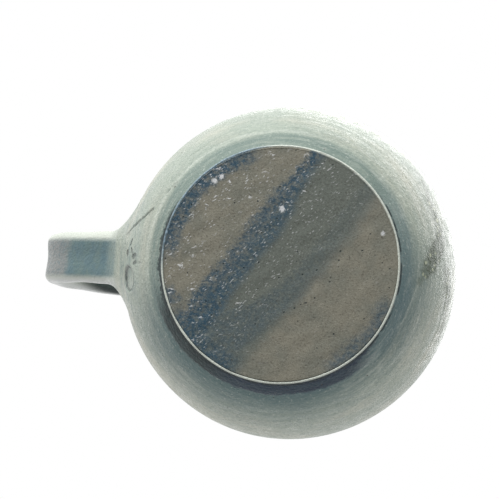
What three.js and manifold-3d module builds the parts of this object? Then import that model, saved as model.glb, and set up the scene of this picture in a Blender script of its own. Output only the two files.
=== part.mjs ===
// A two-litre salt-glazed stoneware pitcher: a thrown clay body with a pinched spout, a glaze coat outside,
// a liner glaze inside, and a pulled strap handle luted on through an upper and a lower clay joint.
// Millimetres, +Z up. The origin is the centre of the flat base, the spout points to +X, the handle to -X.
import * as THREE from "three";
import { mergeVertices } from "three/addons/utils/BufferGeometryUtils.js";
import Module from "manifold-3d";

// Driving dimensions of the glazed surface.
const BASE_RADIUS = 56; // flat, wiped base that the pitcher stands on
const EDGE_RADIUS = 57.4; // where the glaze coat starts, just above the base
const EDGE_HEIGHT = 1.2;
const BEVEL_RADIUS = 62.2; // top of the trimmed bevel round the foot
const BEVEL_HEIGHT = 8;
const BELLY_RADIUS = 84;
const BELLY_HEIGHT = 80;
const NECK_RADIUS = 48.5;
const NECK_HEIGHT = 163;
const COLLAR_RADIUS = 56; // outside of the flared collar, just under the lip
const COLLAR_HEIGHT = 196;
const COLLAR_FLARE = new THREE.Vector2(4, 8); // the way the collar wall runs at the lip
const LIP_RADIUS = 3; // half the wall at the rim
const BELLY_WALL = 5.8;
const NECK_WALL = 5;
const FLOOR_HEIGHT = 8.5; // top of the floor inside
const FLOOR_RADIUS = 38; // where the floor starts to turn up into the wall

// Coats and gaps.
const COAT = 0.6; // thickness of either glaze coat
const GAP = 0.3; // between pieces that touch
const LINER_TOP = 186; // height inside the neck where the liner glaze ends and the outer coat starts

// Spout: the rim is pushed out at the tip and pinched in on both flanks.
const SPOUT_START = 164;
const SPOUT_REACH = 14;
const SPOUT_HALF_ANGLE = 0.29;
const PINCH_DEPTH = 3;
const PINCH_ANGLE = 0.66;
const PINCH_HALF_ANGLE = 0.26;

// Strap handle.
const STRAP_WIDTH_MIDDLE = 26; // narrowest half way round, wider towards both ends
const STRAP_WIDTH_END = 30;
const STRAP_THICKNESS_TOP = 9.5;
const STRAP_THICKNESS_BOTTOM = 7.5;
const STRAP_CORNER = 0.42; // corner radius as a share of the thickness
const UPPER_JOINT_END = 0.17; // shares of the handle's length where the joints meet the strap
const LOWER_JOINT_START = 0.79;
const LEAN_TOP = 1.8; // the handle leans a little: its upper arm stands towards +Y, its lower arm towards -Y
const LEAN_BOTTOM = -1.8;
const LEAN_FROM = 0.1; // shares of the handle's length between which the lean changes
const LEAN_TO = 0.8;
const UPPER_FILLET = { height: 11, spread: 8 }; // clay smoothed from the joint out on to the wall
const LOWER_FILLET = { height: 16, spread: 10.5 };

const MERGE_DISTANCE = 1e-3; // points closer than this are one point

// Fineness of the facets.
const SEGMENTS = 48;
const CURVE_STEPS = 6;
const LIP_STEPS = 4;
const STRAP_STEPS = 26;
const JOINT_STEPS = 18;
const STRAP_OUTLINE_POINTS = 26;

const CLAY = new THREE.MeshStandardMaterial({ color: 0x746c60, roughness: 0.85, metalness: 0 });
const SALT_GLAZE = new THREE.MeshStandardMaterial({ color: 0x9fb0aa, roughness: 0.35, metalness: 0 });
const LINER_GLAZE = new THREE.MeshStandardMaterial({ color: 0xb3bdb2, roughness: 0.25, metalness: 0 });

const wasm = await Module();
wasm.setup();

// ---- Profile of the glazed surface, as points of radius and height ----

// The outside, from the edge of the base up the bevel, belly, shoulder and collar to the lip.
// The bare numbers in a curve are the points that its two ends are pulled towards.
function outsideProfile() {
  const path = new THREE.Path();
  path.moveTo(EDGE_RADIUS, EDGE_HEIGHT);
  path.lineTo(BEVEL_RADIUS, BEVEL_HEIGHT);
  path.bezierCurveTo(72.5, 21, BELLY_RADIUS, 50, BELLY_RADIUS, BELLY_HEIGHT);
  path.bezierCurveTo(BELLY_RADIUS, 113, NECK_RADIUS, 133, NECK_RADIUS, NECK_HEIGHT);
  path.bezierCurveTo(
    NECK_RADIUS,
    177,
    COLLAR_RADIUS - COLLAR_FLARE.x,
    COLLAR_HEIGHT - COLLAR_FLARE.y,
    COLLAR_RADIUS,
    COLLAR_HEIGHT,
  );
  return path.getPoints(CURVE_STEPS);
}

// The half-round lip, square across the collar wall.
function lipProfile() {
  const along = COLLAR_FLARE.clone().normalize();
  const outward = new THREE.Vector2(along.y, -along.x);
  const centre = new THREE.Vector2(COLLAR_RADIUS, COLLAR_HEIGHT).addScaledVector(outward, -LIP_RADIUS);
  const start = outward.angle();
  return Array.from({ length: LIP_STEPS - 1 }, (_, i) => {
    const turn = start + (Math.PI * (i + 1)) / LIP_STEPS;
    return new THREE.Vector2(
      centre.x + LIP_RADIUS * Math.cos(turn),
      centre.y + LIP_RADIUS * Math.sin(turn),
    );
  });
}

// The inside, from the lip down the neck and belly to the middle of the floor.
function insideProfile() {
  const along = COLLAR_FLARE.clone().normalize();
  const inward = new THREE.Vector2(-along.y, along.x);
  const top = new THREE.Vector2(COLLAR_RADIUS, COLLAR_HEIGHT).addScaledVector(inward, 2 * LIP_RADIUS);
  const belly = BELLY_RADIUS - BELLY_WALL;
  const neck = NECK_RADIUS - NECK_WALL;
  const path = new THREE.Path();
  path.moveTo(top.x, top.y);
  path.bezierCurveTo(top.x - COLLAR_FLARE.x, top.y - COLLAR_FLARE.y, neck, 177, neck, NECK_HEIGHT);
  path.bezierCurveTo(neck, 136, belly, 111, belly, BELLY_HEIGHT);
  path.bezierCurveTo(belly, 45, 64, FLOOR_HEIGHT, FLOOR_RADIUS, FLOOR_HEIGHT);
  path.lineTo(0, FLOOR_HEIGHT);
  return path.getPoints(CURVE_STEPS);
}

// Moves a profile into the clay by a depth, square to itself at each point.
function sunk(points, depth) {
  return points.map((p, i) => {
    const before = points[Math.max(i - 1, 0)];
    const after = points[Math.min(i + 1, points.length - 1)];
    const along = after.clone().sub(before).normalize();
    const r = Math.max(p.x - depth * along.y, 0);
    return new THREE.Vector2(r, p.y + depth * along.x);
  });
}

// ---- Thrown parts ----

// A smooth bump round an angle, the same to the left and right of the spout.
function bump(angle, centre, halfAngle) {
  return Math.exp(-(((Math.abs(angle) - centre) / halfAngle) ** 2));
}

// Pulls the rim out into the spout. Every thrown part gets the same shift, so the coats stay on the clay.
function withSpout(geometry) {
  const position = geometry.getAttribute("position");
  const rim = COLLAR_HEIGHT + LIP_RADIUS;
  for (let i = 0; i < position.count; i++) {
    const x = position.getX(i);
    const y = position.getY(i);
    const radius = Math.hypot(x, y);
    const rise = Math.max((position.getZ(i) - SPOUT_START) / (rim - SPOUT_START), 0);
    const angle = Math.atan2(y, x);
    const tip = SPOUT_REACH * bump(angle, 0, SPOUT_HALF_ANGLE);
    const pinch = PINCH_DEPTH * bump(angle, PINCH_ANGLE, PINCH_HALF_ANGLE);
    const scale = radius > 0 ? 1 + (rise ** 2 * (tip - pinch)) / radius : 1;
    position.setXY(i, x * scale, y * scale);
  }
  return geometry;
}

// Splits every four-sided facet along its shorter diagonal, so that facing surfaces are split alike.
function withShortDiagonals(geometry) {
  const position = geometry.getAttribute("position");
  const corner = (i) => new THREE.Vector3().fromBufferAttribute(position, i);
  const order = geometry.index.array;
  for (let i = 0; i < order.length; i += 6) {
    const [a, b, d, c] = order.slice(i, i + 4);
    if (corner(a).distanceTo(corner(c)) < corner(b).distanceTo(corner(d))) {
      order.set([a, b, c, a, c, d], i);
    }
  }
  return geometry;
}

function turned(profile) {
  const lathe = new THREE.LatheGeometry(profile, SEGMENTS).rotateX(Math.PI / 2);
  return withShortDiagonals(withSpout(lathe));
}

// A coat between a stretch of the glazed surface and the same stretch sunk by its thickness.
function coat(surface) {
  const under = sunk(surface, COAT).reverse();
  return turned([...surface, ...under, surface[0]]);
}

// ---- Handle ----

// The middle line of the strap, from inside the collar wall to inside the belly wall.
function handleLine() {
  const line = new THREE.CurvePath();
  const at = (out, height) => new THREE.Vector3(-out, 0, height);
  line.add(new THREE.CubicBezierCurve3(at(38, 173), at(64, 186), at(96, 196), at(113, 183)));
  line.add(new THREE.CubicBezierCurve3(at(113, 183), at(126, 173), at(132.5, 155), at(131, 137)));
  line.add(new THREE.CubicBezierCurve3(at(131, 137), at(129, 115), at(104, 104), at(62, 68)));
  return line;
}

function lean(share) {
  return THREE.MathUtils.lerp(LEAN_TOP, LEAN_BOTTOM, THREE.MathUtils.smoothstep(share, LEAN_FROM, LEAN_TO));
}

function strapOutline() {
  const halfWidth = STRAP_WIDTH_MIDDLE / 2;
  const halfThickness = STRAP_THICKNESS_TOP / 2;
  const corner = STRAP_CORNER * STRAP_THICKNESS_TOP;
  const across = halfWidth - corner;
  const through = halfThickness - corner;
  const shape = new THREE.Shape();
  shape.moveTo(halfWidth, -through);
  shape.absarc(across, through, corner, 0, Math.PI / 2);
  shape.absarc(-across, through, corner, Math.PI / 2, Math.PI);
  shape.absarc(-across, -through, corner, Math.PI, 1.5 * Math.PI);
  shape.absarc(across, -through, corner, 1.5 * Math.PI, 2 * Math.PI);
  return new THREE.Shape(shape.getSpacedPoints(STRAP_OUTLINE_POINTS).slice(0, -1));
}

// How far a point lies outside the wall, from the nearest stretch of the outside profile.
function distanceToWall(point, profile) {
  const at = new THREE.Vector2(Math.hypot(point.x, point.y), point.z);
  const along = new THREE.Vector2();
  let nearest = Infinity;
  let side = 1;
  for (let i = 1; i < profile.length; i++) {
    along.subVectors(profile[i], profile[i - 1]);
    const from = at.clone().sub(profile[i - 1]);
    const share = THREE.MathUtils.clamp(from.dot(along) / along.lengthSq(), 0, 1);
    const distance = from.clone().addScaledVector(along, -share).length();
    if (distance < nearest) {
      nearest = distance;
      side = Math.sign(from.x * along.y - from.y * along.x) || 1;
    }
  }
  return side * nearest;
}

// How far a fillet stands out from the strap at a distance from the wall.
function filletReach(distance, fillet) {
  const left = THREE.MathUtils.clamp(1 - distance / fillet.height, 0, 1);
  return fillet.spread * left ** 2;
}

// One stretch of the strap between two shares of its length, swelling into a fillet where it nears the wall.
function strapStretch(from, to, steps, fillet, wall) {
  const line = handleLine();
  const outline = strapOutline();
  const geometry = new THREE.ExtrudeGeometry(outline, { depth: 1, steps, bevelEnabled: false });
  const position = geometry.getAttribute("position");
  const corner = STRAP_CORNER * STRAP_THICKNESS_TOP;
  const coreX = STRAP_WIDTH_MIDDLE / 2 - corner;
  const coreY = STRAP_THICKNESS_TOP / 2 - corner;
  for (let i = 0; i < position.count; i++) {
    const share = THREE.MathUtils.lerp(from, to, position.getZ(i));
    const across = position.getX(i);
    const through = position.getY(i);
    const widthScale = THREE.MathUtils.lerp(1, STRAP_WIDTH_END / STRAP_WIDTH_MIDDLE, (2 * share - 1) ** 2);
    const thicknessScale = THREE.MathUtils.lerp(1, STRAP_THICKNESS_BOTTOM / STRAP_THICKNESS_TOP, share);
    const outward = new THREE.Vector2(
      across - THREE.MathUtils.clamp(across, -coreX, coreX),
      through - THREE.MathUtils.clamp(through, -coreY, coreY),
    ).normalize();
    const middle = line.getPointAt(share);
    const along = line.getTangentAt(share);
    const place = (u, v) =>
      new THREE.Vector3(middle.x - v * along.z, lean(share) + u, middle.z + v * along.x);
    const plain = place(across * widthScale, through * thicknessScale);
    const reach = fillet ? filletReach(distanceToWall(plain, wall), fillet) : 0;
    const swollen = place(
      across * widthScale + reach * outward.x,
      through * thicknessScale + reach * outward.y,
    );
    position.setXYZ(i, swollen.x, swollen.y, swollen.z);
  }
  return geometry;
}

// ---- Booleans ----

function solidOf(geometry) {
  const bare = geometry.clone();
  bare.deleteAttribute("normal");
  bare.deleteAttribute("uv");
  const merged = mergeVertices(bare, MERGE_DISTANCE);
  return new wasm.Manifold(
    new wasm.Mesh({
      numProp: 3,
      vertProperties: merged.getAttribute("position").array,
      triVerts: new Uint32Array(merged.index.array),
    }),
  );
}

function geometryOf(solid) {
  const mesh = solid.getMesh();
  const geometry = new THREE.BufferGeometry();
  geometry.setAttribute("position", new THREE.BufferAttribute(mesh.vertProperties, 3));
  geometry.setIndex(new THREE.BufferAttribute(mesh.triVerts, 1));
  geometry.computeVertexNormals();
  return geometry;
}

// ---- Assembly ----

const outside = outsideProfile();
const inside = insideProfile();
const skin = [...outside, ...lipProfile(), ...inside];
const linerStart = outside.length + LIP_STEPS - 1 + inside.findIndex((p) => p.y < LINER_TOP);

// Clay: the flat base, then the whole skin sunk under its coats, back to the axis at the floor.
const clayProfile = [
  new THREE.Vector2(0, 0),
  new THREE.Vector2(BASE_RADIUS, 0),
  ...sunk(skin, COAT + GAP),
];

// The outer coat stops a gap short of the liner glaze inside the neck.
const seam = skin[linerStart].clone().sub(skin[linerStart - 1]).setLength(GAP);
const outerCoatSurface = [...skin.slice(0, linerStart), skin[linerStart].clone().sub(seam)];
const linerSurface = skin.slice(linerStart);

// Everything inside the glazed wall, grown by a gap, which the joints are cut back to.
const filledBody = turned([
  new THREE.Vector2(0, 0),
  ...sunk(outside, -GAP),
  new THREE.Vector2(0, COLLAR_HEIGHT),
]);

function joint(from, to, fillet) {
  const clay = strapStretch(from, to, JOINT_STEPS, fillet, outside);
  return geometryOf(solidOf(clay).subtract(solidOf(filledBody)));
}

function named(name, geometry, material) {
  const mesh = new THREE.Mesh(geometry, material);
  mesh.name = name;
  return mesh;
}

// The gap kept between the strap and each joint, as a share of the handle's length.
const handleGap = GAP / handleLine().getLength();

const pitcher = new THREE.Group();
pitcher.add(
  named("clay_body", turned(clayProfile), CLAY),
  named("outer_glaze_coat", coat(outerCoatSurface), SALT_GLAZE),
  named("liner_glaze_coat", coat(linerSurface), LINER_GLAZE),
  named("upper_handle_joint", joint(0, UPPER_JOINT_END, UPPER_FILLET), SALT_GLAZE),
  named(
    "strap_handle",
    strapStretch(UPPER_JOINT_END + handleGap, LOWER_JOINT_START - handleGap, STRAP_STEPS, null, outside),
    SALT_GLAZE,
  ),
  named("lower_handle_joint", joint(LOWER_JOINT_START, 1, LOWER_FILLET), SALT_GLAZE),
);

export default pitcher;
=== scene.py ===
import math

import bpy
import numpy as np
from mathutils import Matrix, Vector


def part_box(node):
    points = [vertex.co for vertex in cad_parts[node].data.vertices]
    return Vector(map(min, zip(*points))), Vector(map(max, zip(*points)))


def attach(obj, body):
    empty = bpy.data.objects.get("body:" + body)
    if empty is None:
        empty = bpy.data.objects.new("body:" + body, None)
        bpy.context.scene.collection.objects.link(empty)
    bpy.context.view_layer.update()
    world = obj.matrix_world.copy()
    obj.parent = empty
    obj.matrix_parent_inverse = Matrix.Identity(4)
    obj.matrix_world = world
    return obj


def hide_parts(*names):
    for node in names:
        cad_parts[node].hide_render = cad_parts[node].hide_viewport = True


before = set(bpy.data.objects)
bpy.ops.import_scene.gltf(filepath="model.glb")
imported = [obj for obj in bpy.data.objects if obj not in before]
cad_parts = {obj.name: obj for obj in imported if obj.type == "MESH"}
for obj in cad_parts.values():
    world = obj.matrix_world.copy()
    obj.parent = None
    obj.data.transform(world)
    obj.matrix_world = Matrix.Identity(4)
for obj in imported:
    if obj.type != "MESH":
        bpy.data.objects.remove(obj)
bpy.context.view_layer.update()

MM = 0.001

# ---- Driving dimensions, in millimetres, the same as the CAD's ----

BELLY_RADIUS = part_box("outer_glaze_coat")[1].y / MM
BELLY_HEIGHT = 80
BASE_RADIUS = 56
BEVEL_RADIUS = 62.2
BEVEL_HEIGHT = 8
NECK_RADIUS = 48.5
NECK_HEIGHT = 163
COLLAR_RADIUS = 56
COLLAR_HEIGHT = 196
COLLAR_FLARE = np.array([4, 8])
LIP_RADIUS = 3  # half the wall at the rim
BELLY_WALL = 5.8
NECK_WALL = 5
FLOOR_HEIGHT = 8.5
FLOOR_RADIUS = 38
LINER_TOP = 186
COAT = 0.6
SPOUT_START = 164
SPOUT_REACH = 14
SPOUT_HALF_ANGLE = 0.29  # radians, like the pinch's two angles
PINCH_DEPTH = 3
PINCH_ANGLE = 0.66
PINCH_HALF_ANGLE = 0.26

BEAD_RADIUS = 0.52  # the roll of glaze along the edge of the wiped base
EDGE_ROUNDING = 0.8  # round the edge of the wiped base
BASE_RECESS = 0.12  # the wiped clay lies this far above the bead
CLAY_DEPTH = 2.6  # of the hidden clay wall under the glazed surface, clear of the deepest mark
STRAP_WIDTH_MIDDLE = 26
STRAP_WIDTH_END = 30
STRAP_THICKNESS_TOP = 9.5
STRAP_THICKNESS_BOTTOM = 7.5
STRAP_CORNER = 0.42  # corner radius as a share of the thickness
STRAP_CROWN = 0.35  # depth of the grooves that fingers drew along the strap
UPPER_JOINT_END = 0.17  # shares of the handle's length where the joints meet the strap
LOWER_JOINT_START = 0.79
LEAN_TOP = 1.8  # the handle's upper arm stands towards +Y and its lower arm towards -Y
LEAN_BOTTOM = -1.8
LEAN_FROM = 0.1  # shares of the handle's length between which the lean changes
LEAN_TO = 0.8

# ---- Fineness of the meshes ----

COLUMNS = 384  # round the pitcher
CROWDING = 0.45  # columns are this much closer together behind the handle than on average
STRAP_POINTS = 144  # round the strap
HIDDEN_SKIP = 4  # a hidden surface keeps one row in this many, or in twice as many under the outer coat
BASE_ROWS = 90  # from the middle of the wiped base to its edge
LINE_POINTS = 1200  # along the middle of the handle
STRAP_ROWS = 150  # along the strap between its joints
SHARP_EDGE = 50  # degrees: a steeper edge is shaded sharp


# ---- Profiles, as rows of radius and height ----
# The bare numbers in a curve are the points that its two ends are pulled towards, and how many points it has.


def bezier(start, pull_start, pull_end, end, count):
    t = np.linspace(0, 1, count + 1)[:-1, None]
    points = [np.array(p, float) for p in (start, pull_start, pull_end, end)]
    weights = ((1 - t) ** 3, 3 * (1 - t) ** 2 * t, 3 * (1 - t) * t**2, t**3)
    return sum(w * p for w, p in zip(weights, points))


def arc(centre, radius, start, stop, count):
    turn = np.radians(np.linspace(start, stop, count + 1)[:-1, None])
    return np.array(centre) + radius * np.hstack([np.cos(turn), np.sin(turn)])


def bevel_and_wall():
    """From the top of the bead up the bevel, belly, neck and collar to the lip."""
    bead_top = (BASE_RADIUS + 0.45, 0.85)
    crease_below = (BEVEL_RADIUS - 0.9, BEVEL_HEIGHT - 1.3)
    crease_above = (BEVEL_RADIUS + 1.1, BEVEL_HEIGHT + 1.4)
    collar = np.array([COLLAR_RADIUS, COLLAR_HEIGHT])
    return np.vstack([
        bezier(bead_top, (57.6, 2.2), (59.8, 4.7), crease_below, 12),
        bezier(crease_below, (BEVEL_RADIUS, BEVEL_HEIGHT), (BEVEL_RADIUS, BEVEL_HEIGHT), crease_above, 5),
        bezier(crease_above, (73.2, 22.2), (BELLY_RADIUS, 51), (BELLY_RADIUS, BELLY_HEIGHT), 64),
        bezier((BELLY_RADIUS, BELLY_HEIGHT), (BELLY_RADIUS, 113), (NECK_RADIUS, 133),
               (NECK_RADIUS, NECK_HEIGHT), 72),
        bezier((NECK_RADIUS, NECK_HEIGHT), (NECK_RADIUS, 177), collar - COLLAR_FLARE, collar, 26),
    ])


def lip():
    along = COLLAR_FLARE / np.linalg.norm(COLLAR_FLARE)
    outward = np.array([along[1], -along[0]])
    centre = np.array([COLLAR_RADIUS, COLLAR_HEIGHT]) - LIP_RADIUS * outward
    start = math.degrees(math.atan2(outward[1], outward[0]))
    return arc(centre, LIP_RADIUS, start, start + 180, 14)


def inside_wall():
    """From the lip down the neck and belly to the middle of the floor."""
    along = COLLAR_FLARE / np.linalg.norm(COLLAR_FLARE)
    top = np.array([COLLAR_RADIUS, COLLAR_HEIGHT]) + 2 * LIP_RADIUS * np.array([-along[1], along[0]])
    neck = NECK_RADIUS - NECK_WALL
    belly = BELLY_RADIUS - BELLY_WALL
    return np.vstack([
        bezier(top, top - COLLAR_FLARE, (neck, 177), (neck, NECK_HEIGHT), 24),
        bezier((neck, NECK_HEIGHT), (neck, 136), (belly, 111), (belly, BELLY_HEIGHT), 56),
        bezier((belly, BELLY_HEIGHT), (belly, 45), (64, FLOOR_HEIGHT), (FLOOR_RADIUS, FLOOR_HEIGHT), 60),
        bezier((FLOOR_RADIUS, FLOOR_HEIGHT), (26, FLOOR_HEIGHT), (13, FLOOR_HEIGHT), (1, FLOOR_HEIGHT), 24),
    ])


def directions(points):
    along = np.gradient(points, axis=0)
    return along / np.linalg.norm(along, axis=1, keepdims=True)


def sunk(points, depth):
    """The profile moved into the clay by a depth, square to itself."""
    along = directions(points)
    return points + depth * np.stack([-along[:, 1], along[:, 0]], axis=1)


WALL = bevel_and_wall()
WALL_NORMALS = directions(WALL)[:, ::-1] * (1, -1)


def wall_distance(points):
    """How far points lie outside the glazed wall, and the wall's outward direction nearest to each."""
    radius = np.hypot(points[:, 0], points[:, 1])
    flat = np.stack([radius, points[:, 2]], axis=1)
    nearest = np.argmin(((flat[:, None, :] - WALL[None, :, :]) ** 2).sum(axis=2), axis=1)
    normal = WALL_NORMALS[nearest]
    distance = ((flat - WALL[nearest]) * normal).sum(axis=1)
    outward = np.stack([
        normal[:, 0] * points[:, 0] / radius,
        normal[:, 0] * points[:, 1] / radius,
        normal[:, 1],
    ], axis=1)
    return distance, outward


def on_wall(azimuth, height):
    """The point of the glazed wall at an azimuth in degrees and a height."""
    radius = np.interp(height, WALL[:, 1], WALL[:, 0])
    turn = math.radians(azimuth)
    return np.array([radius * math.cos(turn), radius * math.sin(turn), height])


# ---- Handmade unevenness ----

RING_HEIGHT = 0.045  # throwing rings
WOBBLE = 0.22
RIM_WOBBLE = 0.3
BASE_RINGS = (0.012, 0.02)  # heights of the base's fine and broad turning rings
BASE_LUMPS = (0.07, 0.05)
SPIRAL_HEIGHT = 0.3  # of the finger's spiral on the floor inside
SPIRAL_PITCH = 7.5


def waves(azimuth, height, seed, count, turns, lengths):
    """A smooth wandering field between about -1 and 1, the same each run.

    It adds up count waves, whose turns round the pitcher and lengths up it are drawn from two ranges.
    """
    draw = np.random.default_rng(seed)
    field = np.zeros(np.broadcast(azimuth, height).shape)
    for _ in range(count):
        turn = draw.integers(turns[0], turns[1] + 1)
        length = draw.uniform(*lengths)
        phase = draw.uniform(0, 2 * math.pi)
        field += np.cos(turn * azimuth + 2 * math.pi * height / length + phase)
    return field / math.sqrt(count)


# Marks pressed into the soft clay under the handle: azimuth and height of the middle, half size across and
# up, slant in degrees, depth.
MARKS = (
    (172, 37, 6, 10.4, 4, 1.2),
    (181.5, 41.5, 1.7, 3.4, 0, 0.6),
    (185.5, 34.5, 1, 2.4, -45, 0.25),
    (182, 31, 1.1, 2.4, 30, 0.3),
    (180, 26, 1.3, 3, -10, 0.3),
    (177.5, 24.5, 0.8, 2.2, -15, 0.2),
)

THUMB_SIZE = 4  # a mark that is wider than this is a thumb's, with painted shade only along its edge
MARK_RIM = 0.15  # height of the clay raised round a mark, as a share of the mark's depth
CREASE_RIM = 0.35

# Creases left by the fingers: a path of azimuths and heights on the wall, half width, depth.
CREASES = (
    (((187.5, 66), (189, 52), (192, 33.5), (195, 24), (199.5, 16.5)), 0.7, 0.6),
    (((208, 12), (212, 10.5), (214, 10.2)), 0.6, 0.3),
    (((226, 19.5), (231, 18.8), (234, 18.6)), 0.6, 0.15),
    (((177, 24), (177, 17)), 0.5, 0.2),
)


def path_distance(points, path):
    """How far points lie from a path of azimuths and heights on the wall."""
    ends = [on_wall(*place) for place in path]
    closest = np.full(len(points), np.inf)
    for start, stop in zip(ends, ends[1:]):
        reach = stop - start
        share = np.clip(((points - start) @ reach) / (reach @ reach), 0, 1)
        closest = np.minimum(closest, np.linalg.norm(points - start - share[:, None] * reach, axis=1))
    return closest


def pressed_in(points):
    """Points near the wall, with the marks pressed into them and a little of the clay raised round each."""
    azimuth = np.degrees(np.arctan2(points[:, 1], points[:, 0])) % 360
    radius = np.hypot(points[:, 0], points[:, 1])
    depth = np.zeros(len(points))
    for middle, height, across, up, slant, deep in MARKS:
        side = np.radians(azimuth - middle) * radius
        rise = points[:, 2] - height
        turn = math.radians(slant)
        u = (side * math.cos(turn) - rise * math.sin(turn)) / across
        v = (side * math.sin(turn) + rise * math.cos(turn)) / up
        reach = np.hypot(u, v)
        depth += deep * (0.75 + 0.4 * v) * np.exp(-(reach**8))
        depth -= MARK_RIM * deep * np.exp(-(((reach - 1.2) / 0.15) ** 2))
    for path, half_width, deep in CREASES:
        reach = path_distance(points, path) / half_width
        depth += deep * (np.exp(-(reach**2)) - CREASE_RIM * np.exp(-(((reach - 2) / 0.7) ** 2)))
    return points - wall_distance(points)[1] * depth[:, None]


def thrown_grid(profile, unevenness=1.0):
    """A profile turned round the axis, with throwing rings, a little wobble and the spout."""
    turn = np.linspace(0, 2 * math.pi, COLUMNS + 1)[:-1]
    azimuth = (turn + CROWDING * np.sin(turn))[None, :]
    radius = profile[:, 0][:, None]
    height = profile[:, 1][:, None]
    above_foot = np.clip((height - 2) / 10, 0, 1)
    rings = waves(azimuth, height, 5, 7, (-1, 1), (4.5, 13))
    wobble = waves(azimuth, height, 8, 6, (1, 5), (70, 240))
    broad = radius + unevenness * above_foot * (RING_HEIGHT * rings + WOBBLE * wobble)
    rise = np.clip((height - SPOUT_START) / (COLLAR_HEIGHT + LIP_RADIUS - SPOUT_START), 0, 1.1)
    away = np.abs((azimuth + math.pi) % (2 * math.pi) - math.pi)
    tip = SPOUT_REACH * np.exp(-((away / SPOUT_HALF_ANGLE) ** 2))
    pinch = PINCH_DEPTH * np.exp(-(((away - PINCH_ANGLE) / PINCH_HALF_ANGLE) ** 2))
    reach = broad + rise**2 * (tip - pinch)
    level = height + unevenness * rise * RIM_WOBBLE * waves(azimuth, 0, 11, 4, (1, 4), (50, 90))
    level = np.broadcast_to(level, reach.shape)
    return np.stack([reach * np.cos(azimuth), reach * np.sin(azimuth), level], axis=2)


# ---- Meshes ----


def piece(name, grid, material, closed_rows=False, start_pole=None, end_pole=None, sharp=SHARP_EDGE):
    """One closed mesh from rows of points that each run once round, capped by a pole at an open end."""
    rows, columns = grid.shape[:2]
    points = [tuple(p) for p in (grid.reshape(-1, 3) * MM).tolist()]
    following = [(c + 1) % columns for c in range(columns)]
    faces = []
    for row in range(rows if closed_rows else rows - 1):
        below = row * columns
        above = (row + 1) % rows * columns
        faces += [(below + c, below + following[c], above + following[c], above + c) for c in range(columns)]
    if start_pole is not None:
        faces += [(len(points), following[c], c) for c in range(columns)]
        points.append(tuple(np.array(start_pole, float) * MM))
    if end_pole is not None:
        last = (rows - 1) * columns
        faces += [(len(points), last + c, last + following[c]) for c in range(columns)]
        points.append(tuple(np.array(end_pole, float) * MM))
    mesh = bpy.data.meshes.new(name)
    mesh.from_pydata(points, [], faces)
    mesh.polygons.foreach_set("use_smooth", [True] * len(mesh.polygons))
    mesh.set_sharp_from_angle(angle=math.radians(sharp))
    mesh.materials.append(material)
    made = bpy.data.objects.new(name, mesh)
    bpy.context.scene.collection.objects.link(made)
    return made


# ---- Materials ----


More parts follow.
